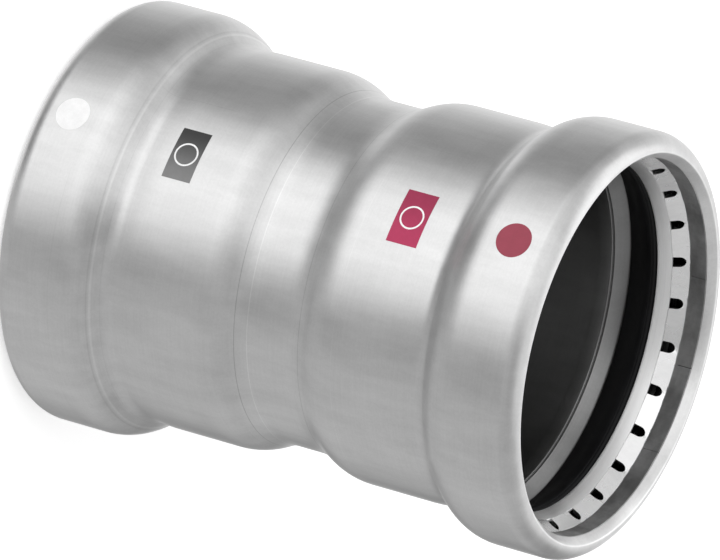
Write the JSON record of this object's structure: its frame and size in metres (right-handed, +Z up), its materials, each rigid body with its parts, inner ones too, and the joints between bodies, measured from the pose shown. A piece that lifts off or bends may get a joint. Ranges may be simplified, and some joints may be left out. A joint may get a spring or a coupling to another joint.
{
  "type": "straight press coupling",
  "caption": "Straight press coupling: a formed steel sleeve with a beaded socket at each end, which holds a toothed grip ring, a separator ring and a rubber seal.",
  "frame": {"origin": "centre of the lower end face, which the coupling stands on", "axes": "+Z up the coupling's axis; -Y is the side that the printed dots and labels face"},
  "size_m": [0.1094, 0.1094, 0.1489],
  "materials": {
    "sleeve_steel": "satin plated, fine turned grain",
    "grip_steel": "bright rolled spring steel",
    "separator_steel": "smooth satin",
    "seal_rubber": "smooth moulded"
  },
  "bodies": {
    "root": {"coupling_body": "sleeve_steel", "grip_ring_top": "grip_steel", "grip_ring_bottom": "grip_steel", "separator_ring_top": "separator_steel", "separator_ring_bottom": "separator_steel", "seal_ring_top": "seal_rubber", "seal_ring_bottom": "seal_rubber"}
  },
  "joints": []
}
